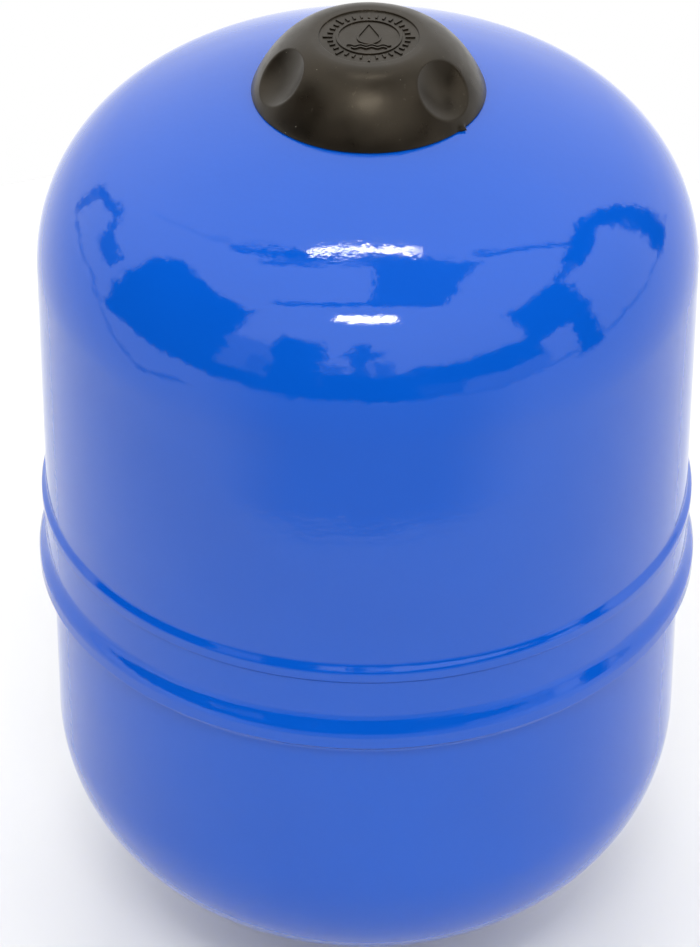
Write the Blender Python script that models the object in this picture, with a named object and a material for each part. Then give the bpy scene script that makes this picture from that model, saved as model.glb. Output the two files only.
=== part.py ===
"""Expansion vessel of about 8 litres: two steel shells, a rubber diaphragm between gas and water,
a G3/4 water connection at the bottom and a gas valve under a screw cap at the top.

Frame: metres, +Z up the axis, origin at the centre of the water connection's end face.
"""

import math

import bmesh
import bpy
from mathutils import Matrix, Vector

MM = 0.001

# Driving dimensions, in millimetres.
SEGMENTS = 36            # sides of the large turned pieces, so that neighbouring facets stay parallel
SMALL_SEGMENTS = 18      # sides of the turned pieces up to SMALL_R
SMALL_R = 20.0
GAP = 0.3                # between pieces that touch
STEEL = 1.5              # wall of both shells
CREASE_Z = 165.2         # where the upper shell's rim ends over the lower shell's neck

UPPER_R = 100.0          # outside of the upper shell
UPPER_STRAIGHT = 85.1    # height of its straight wall above the crease
UPPER_KNUCKLE = 49.4     # radius of the knuckle between wall and crown
UPPER_CROWN = 158.6      # radius of the crown
RIM_R = 101.5            # outside of the flared rim
RIM_TOP = 3.2            # heights above the crease where the rim's band and its flare end
FLARE_TOP = 7.2

LOWER_R = 98.7           # outside of the lower shell
LOWER_STRAIGHT = 81.1    # depth of its straight wall below the crease
LOWER_KNUCKLE = 57.6
LOWER_CROWN = 191.2
NECK_R = 100.5           # straight neck band under the rim
BEAD_R = 103.0           # outside of the bead under the neck
BEAD_START = -13.6       # where the neck band ends, from the crease
BEAD_Z = -21.3           # middle of the bead, from the crease
LIP_R = 98.2             # lip of the lower shell inside the upper shell
LIP_HEIGHT = 14.0

LINER = 1.2              # wall of the polypropylene liner
LINER_TOP = -29.0        # from the crease
RUBBER = 2.0             # wall of the diaphragm
RIM_BEAD = 2.5           # radius of the diaphragm's rim bead
STANDOFF = 2.0           # diaphragm's height above the liner at the bottom

PIPE_R = 13.22           # major radius of a G3/4 thread
PIPE_LENGTH = 16.0
PIPE_BORE = 10.0
COLLAR_R = 17.0
NECK_TUBE_R = 9.7        # outside of the liner's neck in the bore
BUSH_R = 8.6

CAP_R = 34.8             # foot of the protective cap
CAP_TOP_R = 16.8         # flat top, where the rounded side ends
CAP_HEIGHT = 18.7
CAP_FOOT = 143.3         # height of the cap's foot above the crease
CAP_FOOT_RISE = 0.8      # inner edge of the foot above its outer edge, as the dome rises inwards
CAP_WALL = 2.2
CAP_ROOF = 1.8
CAP_ACROSS_POWER = 1.1   # the side is a superellipse with these powers of cosine and sine
CAP_UP_POWER = 1.65
RECESS_R = 14.8          # round recess on the cap's top
RECESS_DEPTH = 0.5
SCALLOPS = 3             # finger scallops, each a dish shaped by a ball
SCALLOP_TURN = 52.0      # angle of the first scallop from the front, in degrees
SCALLOP_R = 22.7         # radius of the ball
SCALLOP_OUT = 43.2       # distance of its centre from the axis
SCALLOP_UP = 24.0        # height of its centre above the cap's foot

BOSS_R = 12.0            # threaded boss for the protective cap
BOSS_HEIGHT = 6.0
COLLAR_WALL = 2.0        # threaded collar inside the cap

SEAT_UP = 1.0            # valve body's shoulder above the dome's apex
STEM_R = 3.85            # 8V1 thread at the valve's mouth
STEM_TOP = 5.6           # heights from here on are from the shoulder's underside
PIN_R = 0.6
SPRING_WIRE = 0.22
SPRING_COIL = 1.25
SPRING_TURNS = 6


def clear_scene():
    for item in list(bpy.data.objects):
        bpy.data.objects.remove(item, do_unlink=True)


def material(name, colour, roughness, metallic):
    made = bpy.data.materials.get(name)
    if made:
        return made
    made = bpy.data.materials.new(name)
    made.use_nodes = True
    shader = made.node_tree.nodes["Principled BSDF"]
    shader.inputs["Base Color"].default_value = (*colour, 1.0)
    shader.inputs["Roughness"].default_value = roughness
    shader.inputs["Metallic"].default_value = metallic
    made.diffuse_color = (*colour, 1.0)
    return made


def blue_paint():
    return material("blue_paint", (0.02, 0.13, 0.62), 0.25, 0.0)


def black_plastic():
    return material("black_plastic", (0.03, 0.028, 0.025), 0.45, 0.0)


def rubber():
    return material("rubber", (0.02, 0.02, 0.02), 0.7, 0.0)


def liner_plastic():
    return material("liner_plastic", (0.75, 0.75, 0.72), 0.5, 0.0)


def zinc():
    return material("zinc", (0.55, 0.56, 0.58), 0.35, 1.0)


def brass():
    return material("brass", (0.62, 0.44, 0.16), 0.3, 1.0)


def spring_steel():
    return material("spring_steel", (0.5, 0.5, 0.5), 0.25, 1.0)


def finish(name, mesh_data, finish_material, parent=None):
    """Closes a bmesh into a named object, smooth where it is round."""
    bmesh.ops.recalc_face_normals(mesh_data, faces=mesh_data.faces)
    mesh = bpy.data.meshes.new(name)
    mesh_data.to_mesh(mesh)
    mesh_data.free()
    mesh.materials.append(finish_material)
    mesh.shade_smooth()
    mesh.set_sharp_from_angle(angle=math.radians(35))
    made = bpy.data.objects.new(name, mesh)
    bpy.context.scene.collection.objects.link(made)
    if parent:
        made.parent = parent
        made.matrix_parent_inverse = Matrix.Translation(-parent.location)
    return made


def axis_point(name, z_mm):
    """Empty on the vessel's axis that a moving piece hangs from."""
    made = bpy.data.objects.new(name, None)
    made.location = (0, 0, z_mm * MM)
    made.empty_display_size = 0.01
    bpy.context.scene.collection.objects.link(made)
    return made


def turned(outline):
    """Turns a closed outline of (radius, height) points about Z. Radius 0 makes one point on the axis."""
    sides = SEGMENTS if max(outline)[0] > SMALL_R else SMALL_SEGMENTS
    shape = bmesh.new()
    rings = []
    for radius, height in outline:
        if radius < 1e-6:
            rings.append([shape.verts.new((0, 0, height * MM))] * sides)
            continue
        ring = []
        for step in range(sides):
            angle = math.tau * step / sides
            point = (radius * math.cos(angle) * MM, radius * math.sin(angle) * MM, height * MM)
            ring.append(shape.verts.new(point))
        rings.append(ring)
    for index, ring in enumerate(rings):
        following = rings[(index + 1) % len(rings)]
        for step in range(sides):
            after = (step + 1) % sides
            corners = [ring[step], ring[after], following[after], following[step]]
            unique = list(dict.fromkeys(corners))
            if len(unique) > 2:
                shape.faces.new(unique)
    return shape


def arc(centre_r, centre_z, radius, start, end, steps):
    """Points of an arc in the (radius, height) plane, angles in degrees from outward."""
    points = []
    for step in range(steps + 1):
        angle = math.radians(start + (end - start) * step / steps)
        points.append((centre_r + radius * math.cos(angle), centre_z + radius * math.sin(angle)))
    return points


def dished_end(wall_r, knuckle, crown, straight, hole, sign, knuckle_steps=5, crown_steps=3):
    """Outline of a dished end, from the straight wall's end to the hole or the axis.

    sign is +1 for an end that closes upwards and -1 for one that closes downwards.
    """
    centre = -math.sqrt((crown - knuckle) ** 2 - (wall_r - knuckle) ** 2)
    meeting = math.degrees(math.atan2(-centre, wall_r - knuckle))
    last = math.degrees(math.acos(hole / crown))
    points = arc(wall_r - knuckle, 0, knuckle, 0, meeting, knuckle_steps)
    points += arc(0, centre, crown, meeting, last, crown_steps)[1:]
    if hole == 0:
        points[-1] = (0.0, centre + crown)
    return [(radius, sign * (height + straight)) for radius, height in points]


def raised(points, base):
    return [(radius, height + base) for radius, height in points]


def apex(wall_r, knuckle, crown, straight):
    return straight + crown - math.sqrt((crown - knuckle) ** 2 - (wall_r - knuckle) ** 2)


UPPER_APEX_Z = CREASE_Z + apex(UPPER_R, UPPER_KNUCKLE, UPPER_CROWN, UPPER_STRAIGHT)
LOWER_APEX_Z = CREASE_Z - apex(LOWER_R, LOWER_KNUCKLE, LOWER_CROWN, LOWER_STRAIGHT)
CAP_Z = CREASE_Z + CAP_FOOT
SEAT_Z = UPPER_APEX_Z + SEAT_UP
BOSS_TOP_Z = UPPER_APEX_Z + GAP + BOSS_HEIGHT
BOSS_HOLE = 8.0          # hole for the valve boss in the upper shell
PORT_HOLE = 14.0         # hole for the water connection in the lower shell


def upper_shell():
    outside = [(RIM_R - 0.3, 0.35), (RIM_R, 1.2), (RIM_R, RIM_TOP), (UPPER_R, FLARE_TOP)]
    outside += dished_end(UPPER_R, UPPER_KNUCKLE, UPPER_CROWN, UPPER_STRAIGHT, BOSS_HOLE, 1)
    inside = dished_end(
        UPPER_R - STEEL, UPPER_KNUCKLE - STEEL, UPPER_CROWN - STEEL, UPPER_STRAIGHT, BOSS_HOLE, 1
    )
    inside = inside[::-1] + [(UPPER_R - STEEL, FLARE_TOP - 0.5), (RIM_R - STEEL, RIM_TOP - 0.5)]
    inside += [(RIM_R - STEEL + 0.1, 0.35)]
    finish("upper_shell", turned(raised(outside + inside, CREASE_Z)), blue_paint())


def lower_shell():
    """From the lip inside the upper shell, over the neck and the bead, down to the port."""
    outside = [
        (LIP_R, LIP_HEIGHT),
        (LIP_R, 2.5),
        (99.4, 0.6),
        (NECK_R, -0.6),
        (NECK_R, BEAD_START),
        (BEAD_R - 0.4, -19.4),
        (BEAD_R, BEAD_Z),
        (BEAD_R - 0.6, -22.9),
        (LOWER_R + 0.8, -26.0),
        (LOWER_R, -27.4),
    ]
    inside = [(radius - STEEL, height) for radius, height in outside]
    inside[3] = (NECK_R - STEEL, -1.8)
    inside[2] = (99.4 - STEEL, -0.4)
    outside += dished_end(LOWER_R, LOWER_KNUCKLE, LOWER_CROWN, LOWER_STRAIGHT, PORT_HOLE, -1)
    inside += dished_end(
        LOWER_R - STEEL, LOWER_KNUCKLE - STEEL, LOWER_CROWN - STEEL, LOWER_STRAIGHT, PORT_HOLE, -1
    )
    finish("lower_shell", turned(raised(outside + inside[::-1], CREASE_Z)), blue_paint())


def water_liner():
    """Plastic lining of the lower shell, with a neck down the bore of the connection."""
    skin = STEEL + GAP
    wall = skin + LINER
    outside = [(LOWER_R - skin, LINER_TOP)]
    outside += dished_end(
        LOWER_R - skin, LOWER_KNUCKLE - skin, LOWER_CROWN - skin, LOWER_STRAIGHT, NECK_TUBE_R, -1
    )
    inside = [(LOWER_R - wall, LINER_TOP)]
    inside += dished_end(
        LOWER_R - wall, LOWER_KNUCKLE - wall, LOWER_CROWN - wall, LOWER_STRAIGHT, NECK_TUBE_R - 0.8, -1
    )
    outline = raised(outside, CREASE_Z)
    outline += [(NECK_TUBE_R, 8.0), (NECK_TUBE_R - 0.8, 8.0)]
    outline += raised(inside, CREASE_Z)[::-1]
    finish("water_liner", turned(outline), liner_plastic())


def diaphragm():
    """Rubber bag that hangs from its rim bead, with a thicker pad at the centre."""
    skin = STEEL + GAP + LINER + GAP
    wall_r = LOWER_R - skin
    web = wall_r - RUBBER
    bead_r = wall_r + RIM_BEAD
    straight = LOWER_STRAIGHT - STANDOFF
    outline = [(web, BEAD_Z + RIM_BEAD - 0.8), (web + 0.8, BEAD_Z + RIM_BEAD)]
    outline += arc(bead_r, BEAD_Z, RIM_BEAD, 90, -90, 6)
    outline += [(wall_r, BEAD_Z - RIM_BEAD - 1.5)]
    outline += dished_end(wall_r, LOWER_KNUCKLE - skin, LOWER_CROWN - skin, straight, 0, -1)
    inner_skin = skin + RUBBER
    inside = dished_end(web, LOWER_KNUCKLE - inner_skin, LOWER_CROWN - inner_skin, straight, 18.0, -1)
    pad_top = inside[-1][1] + 2.0
    inside += [(16.0, pad_top), (0.0, pad_top)]
    hanger = axis_point("diaphragm_axis", CREASE_Z + BEAD_Z)
    finish("diaphragm", turned(raised(outline + inside[::-1], CREASE_Z)), rubber(), hanger)


def clench_ring():
    """L section: the band lies inside the diaphragm and the flange lies on its rim bead."""
    band_r = LOWER_R - STEEL - GAP - LINER - GAP - RUBBER - GAP
    flange_z = BEAD_Z + RIM_BEAD + GAP
    outline = [
        (band_r - STEEL, flange_z + STEEL),
        (band_r + 3.3, flange_z + STEEL),
        (band_r + 3.3, flange_z),
        (band_r, flange_z),
        (band_r, BEAD_Z - 9.0),
        (band_r - STEEL, BEAD_Z - 9.0),
    ]
    finish("clench_ring", turned(raised(outline, CREASE_Z)), zinc())


def water_connection():
    """G3/4 pipe end: thread, collar outside the shell and a spigot through its hole."""
    collar_top = LOWER_APEX_Z + 0.2
    outline = [
        (PIPE_BORE + 0.4, 0.0),
        (PIPE_R - 1.0, 0.0),
        (PIPE_R, 1.0),
        (PIPE_R, PIPE_LENGTH - 2.2),
        (PIPE_R - 1.4, PIPE_LENGTH - 1.6),
        (PIPE_R - 1.4, PIPE_LENGTH),
        (COLLAR_R, PIPE_LENGTH),
        (COLLAR_R, collar_top),
        (PORT_HOLE - GAP, collar_top),
        (PORT_HOLE - GAP, LOWER_APEX_Z + 1.4),
        (PIPE_BORE, LOWER_APEX_Z + 1.4),
        (PIPE_BORE, 15.2),
        (PIPE_BORE + 1.9, 15.2),
        (PIPE_BORE + 1.9, 12.6),
        (PIPE_BORE, 12.6),
        (PIPE_BORE, 0.4),
    ]
    finish("water_connection", turned(outline), zinc())


def port_o_ring():
    finish("port_o_ring", turned(arc(PIPE_BORE + 0.95, 13.9, 0.85, 0, 315, 7)), rubber())


def port_bush():
    """Flanged bush inside the liner's neck, with its flange on the liner."""
    liner_top = LOWER_APEX_Z + STEEL + GAP + LINER
    outline = [
        (BUSH_R, 6.6),
        (BUSH_R, liner_top + GAP),
        (BUSH_R + 4.0, liner_top + GAP + 0.5),
        (BUSH_R + 4.0, liner_top + GAP + 1.2),
        (BUSH_R - 0.8, liner_top + GAP + 1.2),
        (BUSH_R - 0.8, 6.6),
    ]
    finish("port_bush", turned(outline), zinc())


def valve_boss():
    """Threaded boss through the top of the dome, with a counterbore that the valve stands in."""
    foot = UPPER_APEX_Z + GAP
    spigot_end = UPPER_APEX_Z - 3.0
    floor = SEAT_Z - GAP
    outline = [
        (BOSS_HOLE - GAP, spigot_end),
        (BOSS_HOLE - GAP, foot),
        (BOSS_R, foot),
        (BOSS_R, BOSS_TOP_Z - 0.8),
        (BOSS_R - 0.8, BOSS_TOP_Z),
        (6.8, BOSS_TOP_Z),
        (6.5, BOSS_TOP_Z - 0.3),
        (6.5, floor),
        (6.0, floor),
        (6.0, floor - 1.5),
        (4.6, floor - 1.5),
        (4.6, spigot_end),
    ]
    finish("valve_boss", turned(outline), zinc())


def valve_o_ring():
    finish("valve_o_ring", turned(arc(5.2, SEAT_Z - 1.05, 0.6, 0, 315, 7)), rubber())


def valve_body():
    """Hollow stem: threaded mouth, shoulder, thread in the boss and a tail inside the gas space."""
    stem_top = SEAT_Z + STEM_TOP
    outline = [
        (2.8, stem_top),
        (STEM_R - 0.4, stem_top),
        (STEM_R, stem_top - 0.4),
        (STEM_R, SEAT_Z + 1.3),
        (6.0, SEAT_Z + 1.3),
        (6.0, SEAT_Z),
        (4.2, SEAT_Z),
        (4.2, SEAT_Z - 5.0),
        (3.6, SEAT_Z - 5.4),
        (3.6, SEAT_Z - 16.5),
        (2.6, SEAT_Z - 16.5),
        (2.6, SEAT_Z - 5.0),
        (2.9, SEAT_Z - 4.6),
        (2.9, SEAT_Z - 1.2),
        (2.6, SEAT_Z - 0.9),
        (2.6, stem_top - 0.2),
    ]
    finish("valve_body", turned(outline), brass())


def core_barrel():
    """Barrel of the valve core, open at the top and with the pin's hole at the bottom."""
    outline = [
        (0.9, SEAT_Z - 10.5),
        (2.3, SEAT_Z - 10.5),
        (2.3, SEAT_Z - 4.2),
        (1.95, SEAT_Z - 4.2),
        (1.95, SEAT_Z - 1.6),
        (2.3, SEAT_Z - 1.6),
        (2.3, SEAT_Z + 4.4),
        (1.7, SEAT_Z + 4.4),
        (1.7, SEAT_Z - 8.8),
        (0.9, SEAT_Z - 8.8),
    ]
    finish("core_barrel", turned(outline), brass())


def ring(name, inner, outer, low, high, finish_material, parent=None):
    outline = [(inner, low), (outer, low), (outer, high), (inner, high)]
    return finish(name, turned(outline), finish_material, parent)


def core_pin():
    """Pin with a collar that the spring lifts and a disc that carries the seal."""
    tip = SEAT_Z + STEM_TOP - 0.2
    outline = [
        (0.0, SEAT_Z - 13.6),
        (1.9, SEAT_Z - 13.6),
        (1.9, SEAT_Z - 12.6),
        (PIN_R, SEAT_Z - 12.6),
        (PIN_R, SEAT_Z + 0.8),
        (1.5, SEAT_Z + 0.8),
        (1.5, SEAT_Z + 1.3),
        (PIN_R, SEAT_Z + 1.3),
        (PIN_R, tip - 0.2),
        (PIN_R - 0.2, tip),
        (0.0, tip),
    ]
    slider = axis_point("core_pin_axis", SEAT_Z)
    finish("core_pin", turned(outline), brass(), slider)
    ring("core_poppet_seal", 0.9, 1.9, SEAT_Z - 12.3, SEAT_Z - 10.8, rubber(), slider)


def core_spring():
    """Coil between the barrel's floor and the pin's collar."""
    low = SEAT_Z - 8.8 + GAP + SPRING_WIRE
    high = SEAT_Z + 0.8 - GAP - SPRING_WIRE
    steps = SPRING_TURNS * 10
    sides = 5
    shape = bmesh.new()
    rings = []
    for step in range(steps + 1):
        angle = math.tau * SPRING_TURNS * step / steps
        outward = Vector((math.cos(angle), math.sin(angle), 0))
        centre = outward * SPRING_COIL + Vector((0, 0, low + (high - low) * step / steps))
        loop = []
        for side in range(sides):
            turn = math.tau * side / sides
            offset = outward * math.cos(turn) + Vector((0, 0, math.sin(turn)))
            loop.append(shape.verts.new((centre + offset * SPRING_WIRE) * MM))
        rings.append(loop)
    for first, second in zip(rings, rings[1:]):
        for side in range(sides):
            after = (side + 1) % sides
            shape.faces.new((first[side], first[after], second[after], second[side]))
    shape.faces.new(rings[0])
    shape.faces.new(rings[-1])
    finish("core_spring", shape, spring_steel())


def valve_cap():
    """Small cap on the stem, with a sealing disc under its top."""
    low = SEAT_Z + 1.6
    ceiling = SEAT_Z + STEM_TOP + 1.4
    outline = [
        (STEM_R + GAP, low),
        (5.0, low),
        (5.0, ceiling + 0.1),
        (4.5, ceiling + 0.6),
        (0.0, ceiling + 0.6),
        (0.0, ceiling),
        (STEM_R + GAP, ceiling),
    ]
    turner = axis_point("valve_cap_axis", low)
    finish("valve_cap", turned(outline), black_plastic(), turner)
    disc_low = SEAT_Z + STEM_TOP + GAP
    disc = [(0.0, disc_low), (STEM_R, disc_low), (STEM_R, ceiling - GAP), (0.0, ceiling - GAP)]
    finish("valve_cap_seal", turned(disc), rubber(), turner)


def cap_side(reach, rise, steps):
    """Rounded side of the cap, from its foot to its flat top."""
    points = []
    for step in range(steps + 1):
        angle = math.pi / 2 * step / steps
        across = max(math.cos(angle), 0.0) ** CAP_ACROSS_POWER if step < steps else 0.0
        points.append((CAP_TOP_R + reach * across, rise * math.sin(angle) ** CAP_UP_POWER))
    return points


def guide(made):
    """Marks a cutter, which isn't a piece of its own."""
    made.hide_render = True
    made.display_type = "WIRE"
    return made


def cut(target, cutter):
    difference = target.modifiers.new(cutter.name, "BOOLEAN")
    difference.operation = "DIFFERENCE"
    difference.solver = "EXACT"
    difference.object = cutter


def scallop_ball(index, extra):
    """Ball that shapes one scallop. With extra, it is that much larger, and keeps the wall behind the dish."""
    angle = math.radians(SCALLOP_TURN - 90 + 360 / SCALLOPS * index)
    shape = bmesh.new()
    bmesh.ops.create_uvsphere(shape, u_segments=32, v_segments=16, radius=(SCALLOP_R + extra) * MM)
    place = Vector((SCALLOP_OUT * math.cos(angle), SCALLOP_OUT * math.sin(angle), CAP_Z + SCALLOP_UP))
    bmesh.ops.translate(shape, verts=shape.verts, vec=place * MM)
    return guide(finish(f"scallop_ball_{index}_{extra:g}", shape, black_plastic()))


def cap_hollow(collar_out, ceiling):
    """Ring-shaped space between the cap's side and its threaded collar."""
    foot_r = CAP_R - CAP_WALL
    side = cap_side(foot_r - CAP_TOP_R, ceiling, 6)
    outline = [(collar_out, -5.0), (foot_r, -5.0), (foot_r, CAP_FOOT_RISE)]
    outline += side[1:] + [(collar_out, ceiling)]
    hollow = guide(finish("cap_hollow", turned(raised(outline, CAP_Z)), black_plastic()))
    for index in range(SCALLOPS):
        cut(hollow, scallop_ball(index, CAP_WALL))
    return hollow


def protective_cap():
    """Hollow moulded cap with finger scallops, and a threaded collar that goes on the valve boss."""
    roof = CAP_HEIGHT - RECESS_DEPTH
    ceiling = roof - CAP_ROOF
    collar_in = BOSS_R + GAP
    collar_out = collar_in + COLLAR_WALL
    collar_low = UPPER_APEX_Z + GAP + 0.6 - CAP_Z
    step_z = BOSS_TOP_Z + GAP + 1.5 + GAP - CAP_Z
    outline = [(CAP_R - CAP_WALL, CAP_FOOT_RISE)]
    outline += cap_side(CAP_R - CAP_TOP_R, CAP_HEIGHT, 10)
    outline += [(RECESS_R, CAP_HEIGHT), (RECESS_R - 0.3, roof), (0.0, roof), (0.0, ceiling)]
    outline += [(10.5, ceiling), (10.5, step_z), (collar_in, step_z), (collar_in, collar_low)]
    outline += [(collar_out, collar_low)]
    turner = axis_point("protective_cap_axis", CAP_Z)
    made = finish("protective_cap", turned(raised(outline, CAP_Z)), black_plastic(), turner)
    cut(made, cap_hollow(collar_out, ceiling))
    for index in range(SCALLOPS):
        cut(made, scallop_ball(index, 0.0))
    ring("cap_seal", 7.4, 11.8, BOSS_TOP_Z + GAP, BOSS_TOP_Z + GAP + 1.5, rubber(), turner)


def main():
    clear_scene()
    upper_shell()
    lower_shell()
    water_liner()
    diaphragm()
    clench_ring()
    water_connection()
    port_o_ring()
    port_bush()
    valve_boss()
    valve_o_ring()
    valve_body()
    core_barrel()
    ring("core_barrel_seal", 2.1, 2.75, SEAT_Z - 4.0, SEAT_Z - 1.8, rubber())
    core_pin()
    core_spring()
    valve_cap()
    protective_cap()


main()
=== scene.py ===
"""Looks of an expansion vessel of about 8 litres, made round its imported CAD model: fine turned shells, a
moulded screw cap, real threads, and procedural paint, plastic, rubber and metal.

Outlines are (radius, height) points in millimetres about the vessel's axis. Meshes are in metres.
"""

import math
from collections import namedtuple

import bmesh
import bpy
import numpy as np
from mathutils import Matrix, Vector


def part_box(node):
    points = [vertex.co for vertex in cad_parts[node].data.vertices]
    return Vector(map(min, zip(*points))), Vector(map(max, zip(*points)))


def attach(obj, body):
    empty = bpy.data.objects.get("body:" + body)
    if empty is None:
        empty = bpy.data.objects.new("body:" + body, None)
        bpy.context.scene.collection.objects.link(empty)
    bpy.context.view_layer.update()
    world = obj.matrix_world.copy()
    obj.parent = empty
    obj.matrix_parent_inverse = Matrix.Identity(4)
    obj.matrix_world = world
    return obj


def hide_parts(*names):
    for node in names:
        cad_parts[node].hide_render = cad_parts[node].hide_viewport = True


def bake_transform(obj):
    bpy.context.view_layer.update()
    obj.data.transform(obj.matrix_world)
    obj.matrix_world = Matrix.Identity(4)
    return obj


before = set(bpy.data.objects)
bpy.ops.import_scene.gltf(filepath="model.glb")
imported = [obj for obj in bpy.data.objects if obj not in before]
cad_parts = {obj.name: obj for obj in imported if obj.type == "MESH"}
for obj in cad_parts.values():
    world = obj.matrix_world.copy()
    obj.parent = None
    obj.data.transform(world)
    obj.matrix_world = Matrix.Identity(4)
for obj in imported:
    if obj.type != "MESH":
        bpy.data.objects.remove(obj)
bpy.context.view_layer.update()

MM = 0.001
SHELL_SIDES = 288        # sides of the shells and of what lines them
CAP_SIDES = 384
THREAD_SIDES = 192
SMALL_SIDES = 128        # sides of the bush and the seals
VALVE_SIDES = 96
FILLET_STEPS = 6
SHARP = 38               # degrees between faces from which an edge stays sharp

# Pressed shells, as in the CAD model, but for a rim whose flare is a little tighter.
STEEL = 1.5
LIP_HEIGHT = 14.0
UPPER_R = 100.0
UPPER_STRAIGHT = 85.1
UPPER_KNUCKLE = 49.4
UPPER_CROWN = 158.6
RIM_TOP = 3.3
FLARE_TOP = 6.7
LOWER_R = 98.7
LOWER_STRAIGHT = 81.1
LOWER_KNUCKLE = 57.6
LOWER_CROWN = 191.2
NECK_R = 100.5
BOSS_HOLE = 8.0
PORT_HOLE = 14.0
GAP = 0.3
LINER_WALL = 1.2
BAG_WALL = 2.0

# The cap's side is a superellipse, and each scallop is a dish cut by a ball.
CAP_TOP_R = 16.8
CAP_WALL = 2.2
CAP_ROOF = 1.8
CAP_FOOT_RISE = 0.8
CAP_ACROSS_POWER = 1.1
CAP_UP_POWER = 1.65
RECESS_R = 14.8
RECESS_DEPTH = 0.5
SCALLOPS = 3
SCALLOP_TURN = 52.0
SCALLOP_R = 22.7
SCALLOP_OUT = 43.2
SCALLOP_UP = 24.0
SCALLOP_EDGE = 1.6       # softness of a dish's edge, in square millimetres

# Valve.
STEM_R = 3.85
PIN_R = 0.6

# Threads: pitch and depth.
G34_PITCH, G34_DEPTH = 1.814, 1.16
CAP_PITCH, CAP_DEPTH = 3.0, 1.5
VALVE_PITCH, VALVE_DEPTH = 0.794, 0.48
THREAD_STEPS = 12        # rows to a turn

# Camera: from the front and above. Angles in radians, lengths in metres, the lens in millimetres.
VIEW_TILT = 0.6369
VIEW_DISTANCE = 1.479
VIEW_HEIGHT = 0.16635
VIEW_LENS = 179.63
VIEW_ROLL = 0.0051
VIEW_SHIFT = (-0.01766, 0.00427)

Thread = namedtuple("Thread", "pitch depth phase")


# ---------------------------------------------------------------- places from the frame

def extent(node):
    """Outer radius, lowest and highest height of a CAD node, in millimetres."""
    low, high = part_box(node)
    return high.x / MM, low.z / MM, high.z / MM


RIM_R, RIM_LOW = extent("upper_shell")[:2]
BEAD_R, LIP_TOP = extent("lower_shell")[::2]
CREASE_Z = LIP_TOP - LIP_HEIGHT
CAP_R, CAP_Z, CAP_TOP_Z = extent("protective_cap")
BOSS_R, BOSS_LOW, BOSS_TOP = extent("valve_boss")
COLLAR_R, PIPE_END, SPIGOT_TOP = extent("water_connection")
CAP_HEIGHT = CAP_TOP_Z - CAP_Z


def dish_rise(wall_r, knuckle, crown):
    """Height of a dished end's apex above its straight wall."""
    return crown - math.sqrt((crown - knuckle) ** 2 - (wall_r - knuckle) ** 2)


UPPER_APEX = CREASE_Z + UPPER_STRAIGHT + dish_rise(UPPER_R, UPPER_KNUCKLE, UPPER_CROWN)
LOWER_APEX = CREASE_Z - LOWER_STRAIGHT - dish_rise(LOWER_R, LOWER_KNUCKLE, LOWER_CROWN)
SEAT = UPPER_APEX + 1.0  # height of the valve stem's flange on the boss


# ---------------------------------------------------------------- outlines

def arc(centre_r, centre_z, radius, start, end, steps):
    """Points of an arc in the (radius, height) plane, angles in degrees from outward."""
    points = []
    for step in range(steps + 1):
        angle = math.radians(start + (end - start) * step / steps)
        points.append((centre_r + radius * math.cos(angle), centre_z + radius * math.sin(angle)))
    return points


def straight(start, end, pieces):
    """Points between two ends, without the ends."""
    points = []
    for step in range(1, pieces):
        share = step / pieces
        points.append(tuple(a + (b - a) * share for a, b in zip(start, end)))
    return points


def eased(start, end, steps):
    """An S-shaped run from start to end, upright at both ends."""
    points = []
    for step in range(steps + 1):
        share = step / steps
        smooth = share * share * (3 - 2 * share)
        points.append((start[0] + (end[0] - start[0]) * smooth, start[1] + (end[1] - start[1]) * share))
    return points


def dished_end(wall_r, knuckle, crown, wall, hole, sign, steps=28):
    """Outline of a dished end, from the straight wall's end to the hole or the axis."""
    centre = -math.sqrt((crown - knuckle) ** 2 - (wall_r - knuckle) ** 2)
    meeting = math.degrees(math.atan2(-centre, wall_r - knuckle))
    last = math.degrees(math.acos(hole / crown))
    points = arc(wall_r - knuckle, 0, knuckle, 0, meeting, steps)
    points += arc(0, centre, crown, meeting, last, steps)[1:]
    if hole == 0:
        points[-1] = (0.0, centre + crown)
    return [(radius, sign * (height + wall)) for radius, height in points]


def raised(points, base):
    return [(radius, height + base) for radius, height in points]


def rounded(corners, steps=FILLET_STEPS):
    """Outline through the corners. A corner's third value is the radius of its fillet."""
    points = []
    for index, corner in enumerate(corners):
        if isinstance(corner, Thread) or len(corner) == 2:
            points.append(corner)
            continue
        here = Vector(corner[:2])
        back = Vector(corners[index - 1][:2]) - here
        ahead = Vector(corners[(index + 1) % len(corners)][:2]) - here
        half = back.angle(ahead) / 2
        reach = min(corner[2] / math.tan(half), 0.48 * back.length, 0.48 * ahead.length)
        radius = reach * math.tan(half)
        middle = here + (back.normalized() + ahead.normalized()).normalized() * (radius / math.sin(half))
        first = here + back.normalized() * reach - middle
        last = here + ahead.normalized() * reach - middle
        start = math.atan2(first.y, first.x)
        sweep = (math.atan2(last.y, last.x) - start + math.pi) % math.tau - math.pi
        for step in range(steps + 1):
            angle = start + sweep * step / steps
            points.append((middle.x + radius * math.cos(angle), middle.y + radius * math.sin(angle)))
    return points


# ---------------------------------------------------------------- meshes

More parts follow.
